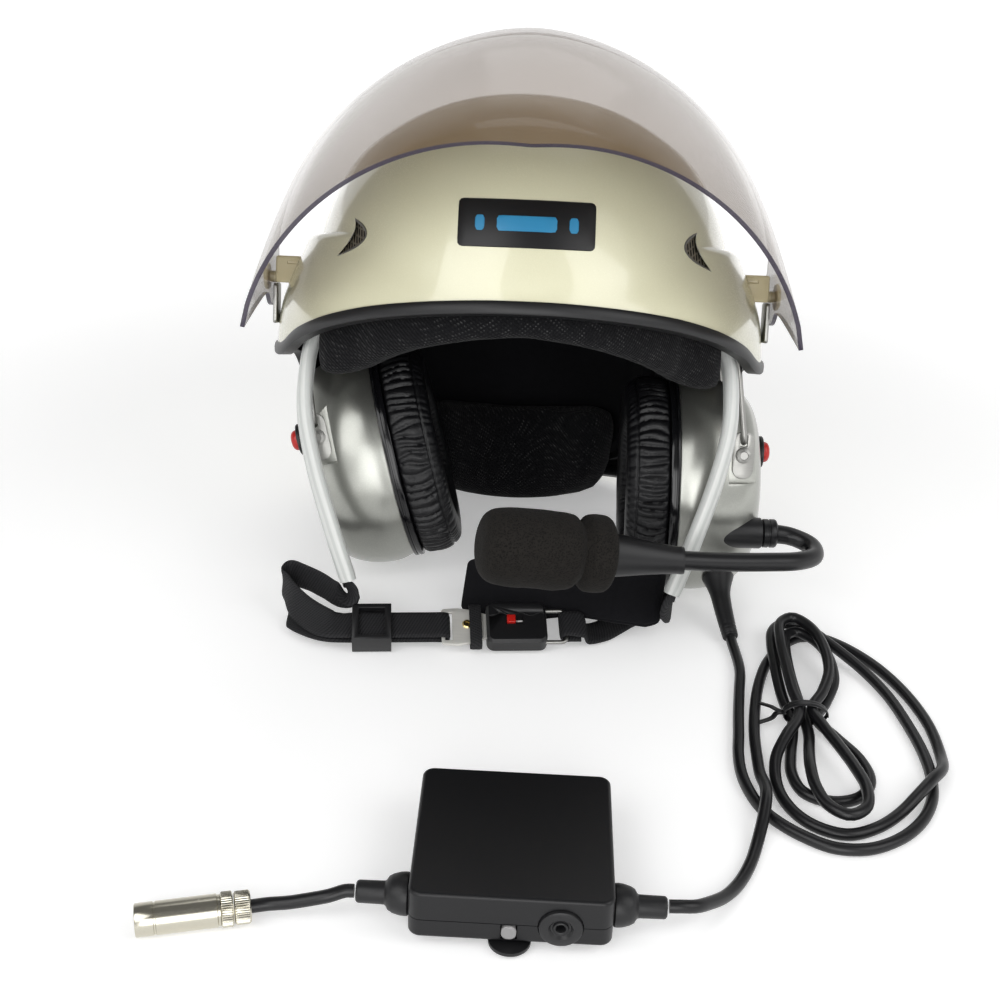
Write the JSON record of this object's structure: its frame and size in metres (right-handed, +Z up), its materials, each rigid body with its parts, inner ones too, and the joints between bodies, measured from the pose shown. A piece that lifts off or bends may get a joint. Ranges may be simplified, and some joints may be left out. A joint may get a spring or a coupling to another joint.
{
  "type": "paramotor helmet",
  "caption": "Open-face paramotor helmet with raised clear visor, ear-cup headset, boom microphone, chin strap, and a cable with a tied hank to a control box and connector.",
  "frame": {"origin": "on the table under the helmet, at the middle of the helmet's own outline without the cable, box and connector", "axes": "+Z up from the table; the helmet faces -Y; +X is to the right as seen from the front"},
  "size_m": [0.3504, 0.4772, 0.2975],
  "materials": {
    "pearl_shell": "glossy pearl cream paint with a clear coat",
    "rubber_trim": "matte black moulded rubber",
    "eps_foam": "black expanded foam",
    "lining_cloth": "black velour and spacer mesh",
    "clear_visor": "clear moulded polycarbonate with a light smoke tint",
    "bright_steel": "bright plated steel",
    "silver_cup": "metallic silver paint, glossy",
    "black_plastic": "satin black moulded plastic",
    "black_leather": "soft black artificial leather",
    "red_plastic": "glossy red moulded plastic",
    "black_foam": "open-cell charcoal foam",
    "white_strap": "white satin sleeve",
    "black_webbing": "black ribbed webbing",
    "cable_rubber": "satin black cable jacket",
    "box_plastic": "fine-grained black moulded plastic",
    "board_green": "green solder mask",
    "light_lens": "clear grey moulded lens",
    "nickel": "polished nickel plate"
  },
  "bodies": {
    "helmet": {"shell": "pearl_shell", "edge_trim": "rubber_trim", "impact_liner": "eps_foam", "comfort_lining": "lining_cloth", "brow_pad": "lining_cloth", "neck_roll": "lining_cloth", "vent_mesh_left": "bright_steel", "vent_mesh_right": "bright_steel", "visor_pivot_screw_left": "pearl_shell", "visor_pivot_screw_right": "pearl_shell", "visor_hinge_plate_left": "bright_steel", "visor_hinge_plate_right": "bright_steel", "yoke_mount_left": "black_plastic", "yoke_mount_right": "black_plastic", "strap_sleeve_left": "white_strap", "strap_sleeve_right": "white_strap", "chin_webbing_left": "black_webbing", "chin_webbing_right": "black_webbing", "ladder_lock": "black_plastic", "buckle_body": "black_plastic", "buckle_wire_loop": "bright_steel", "chin_pad": "lining_cloth", "main_cable_lead": "cable_rubber", "main_cable_coil": "cable_rubber", "main_cable_tail": "cable_rubber", "box_lid": "box_plastic", "box_base": "box_plastic", "box_circuit_board": "board_green", "status_light": "light_lens", "audio_socket": "black_plastic", "box_gland_left": "rubber_trim", "box_gland_right": "rubber_trim", "connector_cable": "cable_rubber", "connector_body": "nickel"},
    "visor": {"visor_shield": "clear_visor"},
    "yoke_left": {"yoke_wire_left": "bright_steel"},
    "yoke_right": {"yoke_wire_right": "bright_steel"},
    "cup_left": {"ear_cup_left": "silver_cup", "cup_plate_left": "black_plastic", "speaker_left": "black_plastic", "ear_cushion_left": "black_leather", "cup_bracket_left": "bright_steel", "button_collar_left": "black_plastic"},
    "cup_right": {"ear_cup_right": "silver_cup", "cup_plate_right": "black_plastic", "speaker_right": "black_plastic", "ear_cushion_right": "black_leather", "cup_bracket_right": "bright_steel", "button_collar_right": "black_plastic", "boom_mount": "black_plastic", "cable_strain_relief": "rubber_trim"},
    "button_left": {"push_button_left": "red_plastic"},
    "button_right": {"push_button_right": "red_plastic"},
    "mic_arm": {"mic_boom": "cable_rubber", "mic_body": "black_plastic", "mic_windscreen": "black_foam"},
    "buckle_tongue": {"buckle_tongue": "bright_steel"},
    "release_tab": {"release_tab": "red_plastic"},
    "belt_clip": {"belt_clip": "box_plastic"},
    "connector_nut": {"connector_nut": "nickel"}
  },
  "joints": [
    {"name": "visor_hinge", "type": "hinge", "parent": "helmet", "child": "visor", "pos_m": [-0.01308, 0.0004, 0.15737], "axis": [1, 0, 0], "range_deg": [-8, 58]},
    {"name": "yoke_swing_right", "type": "hinge", "parent": "helmet", "child": "yoke_right", "pos_m": [0.09892, 0.00244, 0.1279], "axis": [0, 0.9397, -0.342], "range_deg": [0, 6]},
    {"name": "yoke_swing_left", "type": "hinge", "parent": "helmet", "child": "yoke_left", "pos_m": [-0.12509, 0.00244, 0.1279], "axis": [0, 0.9397, -0.342], "range_deg": [-1, 16]},
    {"name": "cup_tilt_right", "type": "hinge", "parent": "yoke_right", "child": "cup_right", "pos_m": [0.10577, -0.01428, 0.08196], "axis": [0, 0.9397, -0.342], "range_deg": [0, 6]},
    {"name": "cup_tilt_left", "type": "hinge", "parent": "yoke_left", "child": "cup_left", "pos_m": [-0.1182, -0.01428, 0.08196], "axis": [0, 0.9397, -0.342], "range_deg": [-6, 6]},
    {"name": "button_press_right", "type": "slide", "parent": "cup_right", "child": "button_right", "axis": [-0.9998, -0.006, -0.0164], "range_m": [0, 0.002], "stiffness_N_per_m": 600, "springref_m": -0.001},
    {"name": "button_press_left", "type": "slide", "parent": "cup_left", "child": "button_left", "axis": [0.9659, 0.0885, 0.2432], "range_m": [0, 0.002], "stiffness_N_per_m": 600, "springref_m": -0.001},
    {"name": "mic_boom_hinge", "type": "hinge", "parent": "cup_right", "child": "mic_arm", "pos_m": [0.1236, -0.05878, 0.0474], "axis": [-0.9998, -0.006, -0.0164], "range_deg": [-4, 35]},
    {"name": "tongue_release", "type": "slide", "parent": "helmet", "child": "buckle_tongue", "axis": [-0.9962, -0.0872, 0], "range_m": [0, 0.016], "deforming": ["chin_webbing_left"]},
    {"name": "release_tab_slide", "type": "slide", "parent": "helmet", "child": "release_tab", "axis": [0.9962, 0.0872, 0], "range_m": [0, 0.0038], "stiffness_N_per_m": 400, "springref_m": -0.001},
    {"name": "belt_clip_hinge", "type": "hinge", "parent": "helmet", "child": "belt_clip", "pos_m": [-0.00844, -0.2721, 0.0025], "axis": [0.9998, -0.0175, 0], "range_deg": [0, 10], "stiffness_Nm_per_rad": 2, "springref_deg": -5.16},
    {"name": "connector_nut_turn", "type": "hinge", "parent": "helmet", "child": "connector_nut", "pos_m": [-0.11159, -0.3081, 0.0071], "axis": [0.9724, 0.2334, 0], "continuous": true}
  ]
}
